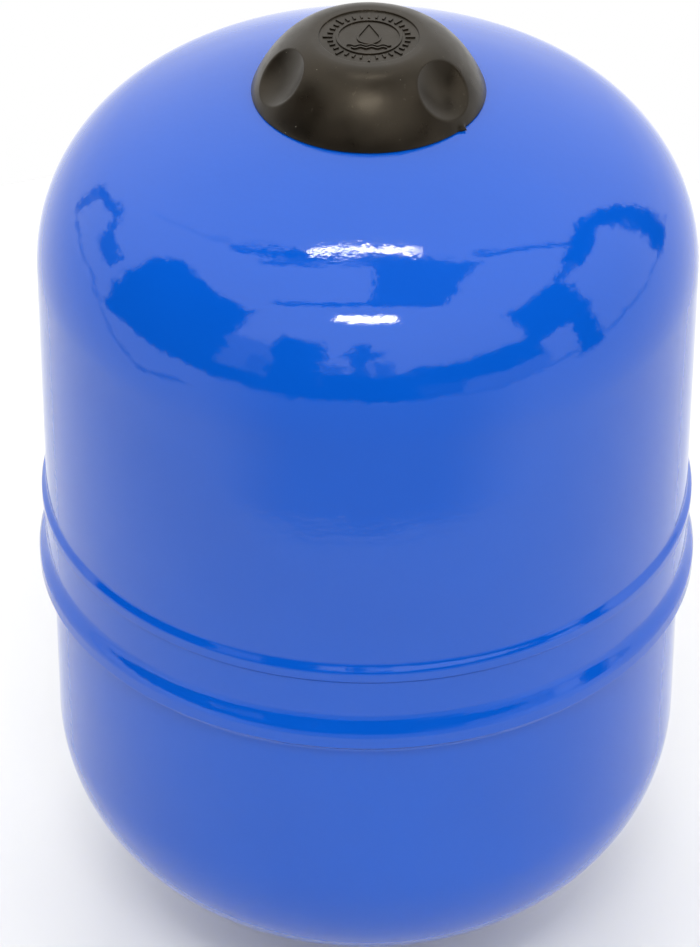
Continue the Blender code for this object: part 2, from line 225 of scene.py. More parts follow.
def turned(outline, sides):
    """Points, in millimetres, and faces of a closed outline turned about Z, with its threads."""
    rings, threads = [], {}
    for item in outline:
        if isinstance(item, Thread):
            threads[len(rings) - 1] = item
        else:
            rings.append(item)
    angles = np.arange(sides) * math.tau / sides
    radius, height = np.array(rings).T
    points = np.empty((len(rings), sides, 3))
    points[..., 0] = np.outer(radius, np.cos(angles))
    points[..., 1] = np.outer(radius, np.sin(angles))
    points[..., 2] = height[:, None]
    ring = np.array([index for index in range(len(rings)) if index not in threads])[:, None]
    side = np.arange(sides)[None, :]
    after = (ring + 1) % len(rings)
    corners = [ring * sides + side, ring * sides + (side + 1) % sides]
    corners += [after * sides + (side + 1) % sides, after * sides + side]
    faces = [np.stack(corners, -1).reshape(-1, 4)]
    parts = [points.reshape(-1, 3)]
    for index, thread in threads.items():
        count = sum(len(part) for part in parts)
        more, quads = threaded(rings[index], rings[(index + 1) % len(rings)], thread, sides)
        parts.append(more)
        faces.append(quads + count)
    return np.concatenate(parts), np.concatenate(faces)


def threaded(start, end, thread, sides):
    """Grid of a thread between two circles at its root. Rows follow the helix, and ends are chamfered."""
    root = start[0]
    low, high = sorted((start[1], end[1]))
    base = math.floor(low / thread.pitch) * thread.pitch
    rows = THREAD_STEPS * (math.ceil((high - base) / thread.pitch) + 1) + 1
    row = np.arange(rows)[:, None]
    side = np.arange(sides)[None, :]
    height = base + thread.pitch * (row / THREAD_STEPS + side / sides - 1)
    wave = np.abs(2 * ((row / THREAD_STEPS + thread.phase) % 1) - 1)
    crest = np.clip((wave - 0.14) / 0.72, 0, 1) * np.ones_like(height)
    height = np.clip(height, low, high)
    chamfer = np.minimum(height - low, high - height) / abs(thread.depth)
    radius = root + thread.depth * np.minimum(crest, chamfer)
    angle = side * math.tau / sides * np.ones_like(height)
    points = np.stack([radius * np.cos(angle), radius * np.sin(angle), height], -1)
    faces = []
    for index in range(rows - 1):
        this = index * sides + np.arange(sides)
        above = this + sides
        after_this = np.roll(this, -1)
        after_above = np.roll(above, -1)
        after_this[-1] = min(index + THREAD_STEPS, rows - 1) * sides
        after_above[-1] = min(index + 1 + THREAD_STEPS, rows - 1) * sides
        faces.append(np.stack([this, after_this, after_above, above], -1))
    return points.reshape(-1, 3), np.concatenate(faces)


def piece(name, shape, material, body=None, stands_for=()):
    """Object of (points in millimetres, faces), riding on its body and standing for its CAD nodes."""
    points, faces = shape
    mesh = bpy.data.meshes.new(name)
    mesh.from_pydata((np.asarray(points) * MM).tolist(), [], [list(face) for face in faces])
    work = bmesh.new()
    work.from_mesh(mesh)
    bmesh.ops.remove_doubles(work, verts=work.verts, dist=1e-7)
    bmesh.ops.dissolve_degenerate(work, edges=work.edges, dist=1e-8)
    loose = [edge for edge in work.edges if not edge.link_faces]
    bmesh.ops.delete(work, geom=loose, context="EDGES")
    bmesh.ops.recalc_face_normals(work, faces=work.faces)
    work.to_mesh(mesh)
    work.free()
    mesh.materials.append(material)
    mesh.shade_smooth()
    mesh.set_sharp_from_angle(angle=math.radians(SHARP))
    made = bpy.data.objects.new(name, mesh)
    bpy.context.scene.collection.objects.link(made)
    flat = made.modifiers.new("weighted normals", "WEIGHTED_NORMAL")
    flat.keep_sharp = True
    if body:
        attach(made, body)
    if stands_for:
        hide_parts(*stands_for)
    return made


def joined(shapes):
    """One (points, faces) shape out of several."""
    points, faces, count = [], [], 0
    for more, quads in shapes:
        points.append(np.asarray(more))
        faces += [[corner + count for corner in face] for face in quads]
        count += len(more)
    return np.concatenate(points), faces


# ---------------------------------------------------------------- materials

# Linear colours, and the paint's relief in metres.
BLUE = (0.0008, 0.078, 0.48)
BLUE_DEEP = (0.0006, 0.073, 0.455)
DUST = (0.35, 0.5, 0.85)
PEEL = 2.8e-5
PEEL_FINE = 1.3e-5
WAVE = 1.1e-4
PLASTIC = (0.0085, 0.0062, 0.0040)
PLASTIC_DARK = (0.0045, 0.0034, 0.0022)
PLASTIC_WORN = (0.075, 0.066, 0.05)
PLASTIC_DUST = (0.3, 0.28, 0.23)
PLASTIC_SHEEN = (1.0, 0.86, 0.66, 1.0)
RUBBER = (0.012, 0.012, 0.012)
RUBBER_BLOOM = (0.05, 0.05, 0.048)
MILK = (0.78, 0.78, 0.75)
MILK_DARK = (0.66, 0.66, 0.62)
ZINC = (0.50, 0.52, 0.55), (0.66, 0.66, 0.64)
BRASS = (0.60, 0.40, 0.14), (0.74, 0.54, 0.24)
DRAWN_STEEL = (0.42, 0.42, 0.43), (0.58, 0.58, 0.58)


def add(tree, kind, inputs=None, **settings):
    """Adds a shader node, sets it up and links or fills its inputs."""
    made = tree.nodes.new("ShaderNode" + kind)
    for key, value in settings.items():
        setattr(made, key, value)
    for key, value in (inputs or {}).items():
        if isinstance(value, bpy.types.NodeSocket):
            tree.links.new(value, made.inputs[key])
        else:
            made.inputs[key].default_value = value
    return made


def calc(tree, operation, *values):
    return add(tree, "Math", dict(enumerate(values)), operation=operation).outputs[0]


def ramp(tree, value, low, high, to_low=0.0, to_high=1.0, smooth=True):
    """Maps low..high to to_low..to_high, and holds the value beyond them."""
    inputs = {"Value": value, "From Min": low, "From Max": high, "To Min": to_low, "To Max": to_high}
    kind = "SMOOTHSTEP" if smooth else "LINEAR"
    return add(tree, "MapRange", inputs, interpolation_type=kind).outputs["Result"]


def noise(tree, place, scale, detail=2.0, roughness=0.5):
    inputs = {"Vector": place, "Scale": scale, "Detail": detail, "Roughness": roughness}
    return add(tree, "TexNoise", inputs).outputs["Fac"]


def specks(tree, place, scale, radius, share):
    """Sparse round specks, 1 inside and 0 outside. Radius in cells, share of the cells that have one."""
    cell = add(tree, "TexVoronoi", {"Vector": place, "Scale": scale})
    draw = add(tree, "SeparateColor", {"Color": cell.outputs["Color"]}).outputs[0]
    chosen = calc(tree, "LESS_THAN", draw, share)
    spot = ramp(tree, cell.outputs["Distance"], radius * 0.6, radius, 1.0, 0.0)
    return calc(tree, "MULTIPLY", spot, chosen)


def blend_colour(tree, share, first, second):
    """Mixes two colours, each a triple or a socket."""
    made = add(tree, "Mix", {"Factor": share}, data_type="RGBA")
    for socket, value in ((made.inputs[6], first), (made.inputs[7], second)):
        if isinstance(value, bpy.types.NodeSocket):
            tree.links.new(value, socket)
        else:
            socket.default_value = (*value, 1.0)
    return made.outputs[2]


def bump(tree, height):
    """Normal from a height in metres."""
    return add(tree, "Bump", {"Height": height, "Distance": 1.0, "Strength": 1.0}).outputs["Normal"]


def heights(tree, *terms):
    """Sum of (value, height in metres) pairs."""
    total = calc(tree, "MULTIPLY", *terms[0])
    for value, size in terms[1:]:
        total = calc(tree, "MULTIPLY_ADD", value, size, total)
    return total


def surface(name, metallic=0.0, **uniform):
    """New material. Returns it, its tree, its shader and the object's own coordinates."""
    made = bpy.data.materials.new(name)
    made.use_nodes = True
    tree = made.node_tree
    shader = tree.nodes["Principled BSDF"]
    shader.inputs["Metallic"].default_value = metallic
    for key, value in uniform.items():
        shader.inputs[key.replace("_", " ")].default_value = value
    place = add(tree, "TexCoord").outputs["Object"]
    return made, tree, shader, place


def feed(tree, shader, **sockets):
    for key, value in sockets.items():
        tree.links.new(value, shader.inputs[key.replace("_", " ")])


def ring_marks(tree, place, scale):
    """Fine rings round the axis, as a lathe tool leaves them."""
    parts = add(tree, "SeparateXYZ", {"Vector": place})
    x, y, z = parts.outputs
    radius = calc(tree, "SQRT", calc(tree, "MULTIPLY_ADD", x, x, calc(tree, "MULTIPLY", y, y)))
    flat = add(tree, "CombineXYZ", {"X": radius, "Z": z}).outputs[0]
    return noise(tree, flat, scale, 3.0)


def blue_paint():
    """Glossy enamel: orange peel, the sheet's slow waves, a few dust nibs and faint smears."""
    made, tree, shader, place = surface("blue_enamel", IOR=1.5)
    tone = noise(tree, place, 14.0, 3.0)
    nib = specks(tree, place, 62.0, 0.025, 0.16)
    colour = blend_colour(tree, ramp(tree, tone, 0.3, 0.7), BLUE_DEEP, BLUE)
    colour = blend_colour(tree, calc(tree, "MULTIPLY", nib, 0.55), colour, DUST)
    smear = ramp(tree, noise(tree, place, 55.0, 4.0, 0.6), 0.35, 0.75, 0.035, 0.075)
    peel = noise(tree, place, 330.0, 1.5)
    wave = noise(tree, place, 45.0, 1.0)
    fine = noise(tree, place, 900.0, 2.0)
    rise = heights(tree, (peel, PEEL), (fine, PEEL_FINE), (wave, WAVE), (nib, 2e-5))
    feed(tree, shader, Base_Color=colour, Roughness=smear, Normal=bump(tree, rise))
    return made


def black_plastic():
    """Moulded brown-black plastic: fine grain, uneven sheen, light dust and thin scuffs."""
    made, tree, shader, place = surface("moulded_plastic", IOR=1.4, Specular_Tint=PLASTIC_SHEEN)
    tone = noise(tree, place, 90.0, 4.0)
    dust = specks(tree, place, 330.0, 0.06, 0.06)
    long = add(tree, "Mapping", {"Vector": place, "Scale": (700.0, 700.0, 45.0)}).outputs[0]
    scuff = ramp(tree, noise(tree, long, 1.0, 2.0), 0.70, 0.76)
    colour = blend_colour(tree, ramp(tree, tone, 0.3, 0.7), PLASTIC_DARK, PLASTIC)
    colour = blend_colour(tree, calc(tree, "MULTIPLY", scuff, 0.25), colour, PLASTIC_WORN)
    colour = blend_colour(tree, calc(tree, "MULTIPLY", dust, 0.6), colour, PLASTIC_DUST)
    gloss = ramp(tree, noise(tree, place, 160.0, 5.0, 0.65), 0.3, 0.7, 0.27, 0.38)
    grain = noise(tree, place, 2600.0, 2.0)
    rise = heights(tree, (grain, 1.6e-5), (noise(tree, place, 300.0, 2.0), 1.6e-5), (scuff, -4e-6))
    feed(tree, shader, Base_Color=colour, Roughness=gloss, Normal=bump(tree, rise))
    return made


def black_rubber():
    """Moulded black rubber with a dusty bloom."""
    made, tree, shader, place = surface("black_rubber", IOR=1.5)
    bloom = ramp(tree, noise(tree, place, 120.0, 5.0, 0.7), 0.4, 0.75)
    colour = blend_colour(tree, calc(tree, "MULTIPLY", bloom, 0.5), RUBBER, RUBBER_BLOOM)
    gloss = ramp(tree, bloom, 0.0, 1.0, 0.55, 0.8)
    grain, dimple = noise(tree, place, 1800.0, 2.0), noise(tree, place, 240.0, 2.0)
    rise = heights(tree, (grain, 1.2e-5), (dimple, 2e-5))
    feed(tree, shader, Base_Color=colour, Roughness=gloss, Normal=bump(tree, rise))
    return made


def milky_plastic():
    """Polypropylene lining, milky and a little uneven."""
    made, tree, shader, place = surface("milky_polypropylene", IOR=1.49, Subsurface_Weight=0.25)
    shader.inputs["Subsurface Radius"].default_value = (0.004, 0.004, 0.003)
    tone = noise(tree, place, 40.0, 3.0)
    colour = blend_colour(tree, tone, MILK_DARK, MILK)
    gloss = ramp(tree, noise(tree, place, 90.0, 3.0), 0.3, 0.7, 0.35, 0.5)
    rise = heights(tree, (tone, 6e-5))
    feed(tree, shader, Base_Color=colour, Roughness=gloss, Normal=bump(tree, rise))
    return made


def turned_metal(name, colours, low_gloss, high_gloss):
    """Turned metal: tool rings, stained and handled unevenly."""
    made, tree, shader, place = surface(name, metallic=1.0)
    stain = ramp(tree, noise(tree, place, 260.0, 5.0, 0.6), 0.35, 0.7)
    rings = ring_marks(tree, place, 5200.0)
    colour = blend_colour(tree, stain, *colours)
    gloss = ramp(tree, noise(tree, place, 520.0, 4.0), 0.3, 0.7, low_gloss, high_gloss)
    rise = heights(tree, (rings, 5e-6), (noise(tree, place, 1500.0, 2.0), 3e-6))
    feed(tree, shader, Base_Color=colour, Roughness=gloss, Normal=bump(tree, rise))
    return made


paint = blue_paint()
plastic = black_plastic()
rubber = black_rubber()
polypropylene = milky_plastic()
zinc = turned_metal("zinc_plate", ZINC, 0.22, 0.42)
brass = turned_metal("turned_brass", BRASS, 0.18, 0.34)
spring_steel = turned_metal("drawn_steel", DRAWN_STEEL, 0.2, 0.32)


# ---------------------------------------------------------------- shells and what they hold

def upper_shell():
    """Dome and wall, flared at the rim, with its edge rolled in over the neck."""
    edge = RIM_LOW - CREASE_Z
    lip = rounded([(RIM_R - STEEL, edge, 0.3), (RIM_R, edge, 0.9), (RIM_R, RIM_TOP)])[:-1]
    outside = lip + eased((RIM_R, RIM_TOP), (UPPER_R, FLARE_TOP), 14)
    outside += straight((UPPER_R, FLARE_TOP), (UPPER_R, UPPER_STRAIGHT), 20)
    outside += dished_end(UPPER_R, UPPER_KNUCKLE, UPPER_CROWN, UPPER_STRAIGHT, BOSS_HOLE, 1)
    inner_r = UPPER_R - STEEL
    inside = eased((RIM_R - STEEL, RIM_TOP - 0.5), (inner_r, FLARE_TOP - 0.5), 8)
    inside += straight((inner_r, FLARE_TOP - 0.5), (inner_r, UPPER_STRAIGHT), 6)
    inside += dished_end(
        inner_r, UPPER_KNUCKLE - STEEL, UPPER_CROWN - STEEL, UPPER_STRAIGHT, BOSS_HOLE, 1, 14
    )
    shape = turned(raised(outside + inside[::-1], CREASE_Z), SHELL_SIDES)
    piece("upper_shell_painted", shape, paint, "vessel", ["upper_shell"])


def lower_shell():
    """Lip, neck, bead, wall and dished bottom, down to the port."""
    lip_r = NECK_R - 2.3
    lip = [
        (lip_r - STEEL, LIP_HEIGHT),
        (lip_r, LIP_HEIGHT, 0.4),
        (lip_r, 2.4, 1.0),
        (NECK_R - 1.1, 0.5, 0.5),
        (NECK_R, -0.15, 0.5),
        (NECK_R, -6.0),
    ]
    bead = eased((NECK_R, -12.5), (BEAD_R, -20.1), 20)
    under = [bead[-1], (BEAD_R, -23.4, 0.5), (LOWER_R, -27.2, 3.0), (LOWER_R, -40.0)]
    outside = rounded(lip, 10)[1:] + bead[:-1] + rounded(under, 10)
    inside = [(radius - STEEL, height) for radius, height in outside]
    inside = [(radius, min(height, LIP_HEIGHT)) for radius, height in inside]
    outside += straight((LOWER_R, -40.0), (LOWER_R, -LOWER_STRAIGHT), 10)
    outside += dished_end(LOWER_R, LOWER_KNUCKLE, LOWER_CROWN, LOWER_STRAIGHT, PORT_HOLE, -1)
    inside += dished_end(
        LOWER_R - STEEL, LOWER_KNUCKLE - STEEL, LOWER_CROWN - STEEL, LOWER_STRAIGHT, PORT_HOLE, -1, 14
    )
    shape = turned(raised(outside + inside[::-1], CREASE_Z), SHELL_SIDES)
    piece("lower_shell_painted", shape, paint, "vessel", ["lower_shell"])


def weld_bead(name, radius, height, size, ripples):
    """Fillet weld with the ripples of its run, painted over."""
    points, faces = turned(arc(radius, height, size, 0, 330, 11), SHELL_SIDES)
    angle = np.arctan2(points[:, 1], points[:, 0])
    ripple = 0.16 * size * np.abs(np.sin(angle * ripples / 2)) + 0.05 * size * np.sin(angle * 5)
    out = np.hypot(points[:, 0], points[:, 1])
    share = (out - radius) / size
    points[:, 2] += (points[:, 2] - height) / size * ripple
    points[:, :2] *= ((out + share * ripple) / out)[:, None]
    piece(name, (points, faces), paint, "vessel", ())


def water_liner():
    """Liner of the water side, with the neck that the bush holds."""
    skin, wall = STEEL + GAP, STEEL + GAP + LINER_WALL
    neck_low, top = extent("water_liner")[1:]
    top -= CREASE_Z
    neck_r = 9.7
    outside = [(LOWER_R - skin, top)]
    outside += dished_end(
        LOWER_R - skin, LOWER_KNUCKLE - skin, LOWER_CROWN - skin, LOWER_STRAIGHT, neck_r, -1, 16
    )
    inside = [(LOWER_R - wall, top)]
    inside += dished_end(
        LOWER_R - wall, LOWER_KNUCKLE - wall, LOWER_CROWN - wall, LOWER_STRAIGHT, neck_r - 0.8, -1, 16
    )
    outline = raised(outside, CREASE_Z) + [(neck_r, neck_low), (neck_r - 0.8, neck_low)]
    outline += raised(inside, CREASE_Z)[::-1]
    shape = turned(outline, SHELL_SIDES)
    piece("liner_moulded", shape, polypropylene, "vessel", ["water_liner"])


def diaphragm():
    """Rubber bag that hangs from its rim bead, with a thicker pad and moulded rings at its centre."""
    skin = STEEL + GAP + LINER_WALL + GAP
    rim_bead, standoff = 2.5, 2.0
    bead_z = extent("diaphragm")[2] - CREASE_Z - rim_bead
    wall_r = LOWER_R - skin
    web = wall_r - BAG_WALL
    hang = LOWER_STRAIGHT - standoff
    outline = [(web, bead_z + rim_bead - 0.8), (web + 0.8, bead_z + rim_bead)]
    outline += arc(wall_r + rim_bead, bead_z, rim_bead, 90, -90, 16)
    outline += [(wall_r, bead_z - rim_bead - 1.5)]
    outline += straight(outline[-1], (wall_r, -hang), 24)
    outline += dished_end(wall_r, LOWER_KNUCKLE - skin, LOWER_CROWN - skin, hang, 0, -1, 20)
    inner = skin + BAG_WALL
    inside = straight((web, bead_z + rim_bead - 0.8), (web, -hang), 24)
    inside += dished_end(web, LOWER_KNUCKLE - inner, LOWER_CROWN - inner, hang, 18.0, -1, 20)
    pad_top = inside[-1][1] + 2.0
    inside += [(16.5, pad_top), (12.0, pad_top), (11.4, pad_top - 0.5), (10.8, pad_top), (0.0, pad_top)]
    shape = turned(raised(outline + inside[::-1], CREASE_Z), SHELL_SIDES)
    bag = piece("diaphragm_bag", shape, rubber, None, ["diaphragm"])
    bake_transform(bag)


def clench_ring():
    """Pressed ring of L section, which holds the bag's rim bead in the shell's groove."""
    band_r = LOWER_R - STEEL - GAP - LINER_WALL - GAP - BAG_WALL - GAP
    outer, low, high = extent("clench_ring")
    outline = rounded([
        (band_r - STEEL, high, 0.9),
        (outer, high, 0.5),
        (outer, high - STEEL, 0.5),
        (band_r, high - STEEL, 0.25),
        (band_r, low, 0.4),
        (band_r - STEEL, low, 0.4),
    ])
    piece("clench_ring_pressed", turned(outline, SHELL_SIDES), zinc, "vessel", ["clench_ring"])


# ---------------------------------------------------------------- water connection

def water_connection():
    """G3/4 pipe end with its thread, a relief groove, a collar and a spigot."""
    major, bore = 13.22, 10.0
    root, groove, collar_low = major - G34_DEPTH, major - 1.4, 16.0
    collar_top = LOWER_APEX + 0.2
    outline = rounded([
        (bore + 0.4, PIPE_END),
        (root - 0.35, PIPE_END, 0.15),
        (root, PIPE_END + 0.35),
        Thread(G34_PITCH, G34_DEPTH, 0.0),
        (root, collar_low - 2.0),
        (groove, collar_low - 1.7, 0.2),
        (groove, collar_low, 0.4),
        (COLLAR_R, collar_low, 0.7),
        (COLLAR_R, collar_top, 0.3),
        (PORT_HOLE - GAP, collar_top),
        (PORT_HOLE - GAP, SPIGOT_TOP, 0.4),
        (bore, SPIGOT_TOP, 0.4),
        (bore, 15.2, 0.2),
        (bore + 1.9, 15.2, 0.2),
        (bore + 1.9, 12.6, 0.2),
        (bore, 12.6, 0.2),
        (bore, PIPE_END + 0.4),
    ])
    node = "water_connection"
    piece("connection_threaded", turned(outline, THREAD_SIDES), zinc, "vessel", [node])


def port_bush():
    """Flanged bush that holds the liner's neck in the connection's bore."""
    flange_r, low, high = extent("port_bush")
    bush_r = 8.6
    outline = rounded([
        (bush_r, low, 0.3),
        (bush_r, high - 1.2, 0.5),
        (flange_r, high - 0.7, 0.2),
        (flange_r, high, 0.3),
        (bush_r - 0.8, high, 0.8),
        (bush_r - 0.8, low, 0.3),
    ])
    piece("bush_flanged", turned(outline, SMALL_SIDES), zinc, "vessel", ["port_bush"])


def o_ring(name, node, size):
    """Round ring in the place of its CAD node."""
    outer, low, high = extent(node)
    shape = turned(arc(outer - size, (low + high) / 2, size, 0, 345, 23), SMALL_SIDES)
    piece(name, shape, rubber, "vessel", [node])


# ---------------------------------------------------------------- valve

def valve_boss():
    """Threaded boss that the protective cap screws on."""
    seat = BOSS_LOW + 3.0 + GAP
    root, floor = BOSS_R - CAP_DEPTH, UPPER_APEX + 1.0 - GAP
    outline = rounded([
        (BOSS_HOLE - GAP, BOSS_LOW, 0.5),
        (BOSS_HOLE - GAP, seat),
        (root, seat),
        Thread(CAP_PITCH, CAP_DEPTH, 0.0),
        (root, BOSS_TOP - 0.05),
        (root - 0.1, BOSS_TOP),
        (6.8, BOSS_TOP, 0.2),
        (6.5, BOSS_TOP - 0.3, 0.2),
        (6.5, floor, 0.15),
        (6.0, floor, 0.15),
        (6.0, floor - 1.5, 0.2),
        (4.6, floor - 1.5, 0.2),
        (4.6, BOSS_LOW, 0.3),
    ])
    piece("boss_threaded", turned(outline, THREAD_SIDES), zinc, "vessel", ["valve_boss"])


def valve_body():
    """Valve stem with a threaded mouth, a flange on the boss and the bore of the core."""
    seat, top = SEAT, extent("valve_body")[2]
    root = STEM_R - VALVE_DEPTH
    outline = rounded([
        (2.8, top, 0.1),
        (root, top, 0.05),
        (root, top - 0.1),
        Thread(VALVE_PITCH, VALVE_DEPTH, 0.0),
        (root, seat + 1.7),
        (root - 0.1, seat + 1.3, 0.1),
        (6.0, seat + 1.3, 0.2),
        (6.0, seat, 0.2),
        (4.2, seat, 0.15),
        (4.2, seat - 5.0),
        (3.6, seat - 5.4),
        (3.6, seat - 16.5, 0.2),
        (2.6, seat - 16.5, 0.15),
        (2.6, seat - 5.0),
        (2.9, seat - 4.6),
        (2.9, seat - 1.2),
        (2.6, seat - 0.9),
        (2.6, top - 0.2),
    ])
    piece("valve_stem_turned", turned(outline, VALVE_SIDES), brass, "vessel", ["valve_body"])


def core_barrel():
    """Barrel of the valve core, with a groove for its sleeve."""
    outline = rounded([
        (0.9, SEAT - 10.5, 0.1),
        (2.3, SEAT - 10.5, 0.3),
        (2.3, SEAT - 4.2, 0.1),
        (1.95, SEAT - 4.2, 0.1),
        (1.95, SEAT - 1.6, 0.1),
        (2.3, SEAT - 1.6, 0.1),
        (2.3, SEAT + 4.4, 0.15),
        (1.7, SEAT + 4.4, 0.1),
        (1.7, SEAT - 8.8, 0.1),
        (0.9, SEAT - 8.8, 0.1),
    ])
    piece("core_barrel_turned", turned(outline, VALVE_SIDES), brass, "vessel", ["core_barrel"])


def flat_ring(name, node, inner, fillet, body):
    """Flat rubber ring or sleeve in the place of its CAD node."""
    outer, low, high = extent(node)
    corners = [(inner, low, fillet), (outer, low, fillet), (outer, high, fillet), (inner, high, fillet)]
    piece(name, turned(rounded(corners), SMALL_SIDES), rubber, body, [node])


def core_pin():
    """Pin with the poppet's disc at its foot and the spring's collar near its top."""
    low, high = SEAT - 13.6, extent("core_pin")[2]
    outline = rounded([
        (0.0, low),
        (1.9, low, 0.15),
        (1.9, SEAT - 12.6, 0.15),
        (PIN_R, SEAT - 12.6, 0.1),
        (PIN_R, SEAT + 0.8, 0.1),
        (1.5, SEAT + 0.8, 0.1),
        (1.5, SEAT + 1.3, 0.1),
        (PIN_R, SEAT + 1.3, 0.1),
        (PIN_R, high, 0.25),
        (0.0, high),
    ])
    piece("pin_turned", turned(outline, 64), brass, "valve_pin", ["core_pin"])


def core_spring():
    """Coil with closed end turns, between the barrel's floor and the pin's collar."""
    wire, coil, turns, sides, per_turn = 0.22, 1.25, 6, 12, 40
    low = extent("core_spring")[1] + wire
    high = extent("core_spring")[2] - wire
    share = np.linspace(0, 1, turns * per_turn + 1)
    closed = 0.12
    lift = np.clip((share - closed) / (1 - 2 * closed), 0, 1) * 0.82
    lift += 0.09 * np.clip(share / closed, 0, 1)
    lift += 0.09 * np.clip((share - 1 + closed) / closed, 0, 1)
    angle = math.tau * turns * share
    around = np.arange(sides) * math.tau / sides
    radius = coil + wire * np.cos(around)[None, :] * np.ones_like(angle)[:, None]
    points = np.empty((len(angle), sides, 3))
    points[..., 0] = radius * np.cos(angle)[:, None]
    points[..., 1] = radius * np.sin(angle)[:, None]
    points[..., 2] = (low + (high - low) * lift)[:, None] + wire * np.sin(around)[None, :]
    faces = [list(range(sides)), list(range(points.shape[0] * sides - sides, points.shape[0] * sides))]
    for ring in range(len(angle) - 1):
        for side in range(sides):
            after = (side + 1) % sides
            base = ring * sides
            faces.append([base + side, base + after, base + sides + after, base + sides + side])
    shape = (points.reshape(-1, 3), faces)
    wound = piece("spring_wound", shape, spring_steel, None, ["core_spring"])
    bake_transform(wound)


def valve_cap():
    """Small knurled cap with its thread."""
    outer, low, high = extent("valve_cap")
    ceiling = high - 0.6
    root = STEM_R + GAP
    outline = rounded([
        (root, low + 0.05),
        (outer - 0.5, low, 0.1),
        (outer, low + 0.5, 0.1),
        (outer, low + 1.0),
        (outer, high - 1.2),
        (outer, high - 0.4, 0.3),
        (outer - 0.6, high, 0.3),
        (1.0, high),
        (0.0, high),
        (0.0, ceiling),
        (root, ceiling, 0.2),
        (root, ceiling - 1.6),
        Thread(VALVE_PITCH, 0.4 - VALVE_DEPTH * 2 + 0.14, 0.5),
    ])
    points, faces = turned(outline, THREAD_SIDES)
    out = np.hypot(points[:, 0], points[:, 1])
    angle = np.arctan2(points[:, 1], points[:, 0])
    on_side = (out > outer - 0.05) & (points[:, 2] > low + 0.7) & (points[:, 2] < high - 1.0)
    groove = 0.22 * (0.5 + 0.5 * np.cos(angle * 24)) ** 3
    points[:, :2] *= np.where(on_side, (out - groove) / np.maximum(out, 1e-6), 1.0)[:, None]
    shape = (points, faces)
    piece("valve_cap_knurled", shape, plastic, "valve_cap_turner", ["valve_cap"])


def valve_cap_disc():
    """Rubber disc under the small cap's ceiling."""
    outer, low, high = extent("valve_cap_seal")
    outline = rounded([(0.0, low), (outer, low, 0.2), (outer, high, 0.2), (0.0, high)])
    shape = turned(outline, VALVE_SIDES)
    piece("valve_cap_disc", shape, rubber, "valve_cap_turner", ["valve_cap_seal"])


# ---------------------------------------------------------------- protective cap

def cap_side(reach, rise, steps):
    """Rounded side of the cap, from its foot to its flat top."""
    points = []
    for step in range(steps + 1):
        angle = math.pi / 2 * step / steps
        across = max(math.cos(angle), 0.0) ** CAP_ACROSS_POWER if step < steps else 0.0
        points.append((CAP_TOP_R + reach * across, rise * math.sin(angle) ** CAP_UP_POWER))
    return points


def scalloped(points, ball):
    """Moves points inwards out of the three balls that shape the finger scallops."""
    for index in range(SCALLOPS):
        turn = math.radians(SCALLOP_TURN - 90 + 360 / SCALLOPS * index)
        centre = (SCALLOP_OUT * math.cos(turn), SCALLOP_OUT * math.sin(turn), CAP_Z + SCALLOP_UP)
        out = np.hypot(points[:, 0], points[:, 1])
        inward = np.zeros_like(points)
        inward[:, :2] = -points[:, :2] / np.maximum(out, 1e-6)[:, None]
        offset = points - np.array(centre)
        towards = (offset * inward).sum(1)
        inside = (offset ** 2).sum(1) - ball ** 2
        soft = (inside - np.sqrt(inside ** 2 + SCALLOP_EDGE ** 2)) / 2
        move = np.sqrt(np.maximum(towards ** 2 - soft, 0)) - towards
        move = np.where((towards > 0) & (out > CAP_TOP_R - 0.5), move, 0)
        points = points + inward * move[:, None]
    return points


def with_flash(points):
    """Adds the small torn nub of flash on the cap's foot."""
    turn = math.radians(SCALLOP_TURN - 90)
    out = np.hypot(points[:, 0], points[:, 1])
    across = (np.arctan2(points[:, 1], points[:, 0]) - turn) * out
    up = points[:, 2] - CAP_Z
    shape = np.exp(-(np.abs(across / 1.1) ** 3)) * np.exp(-((up / 1.3) ** 2))
    nub = np.where(out > CAP_R - CAP_WALL, 1.15 * shape * (1 + 0.25 * np.sin(across * 4)), 0)
    points = points.copy()
    points[:, :2] *= ((out + nub) / np.maximum(out, 1e-6))[:, None]
    return points


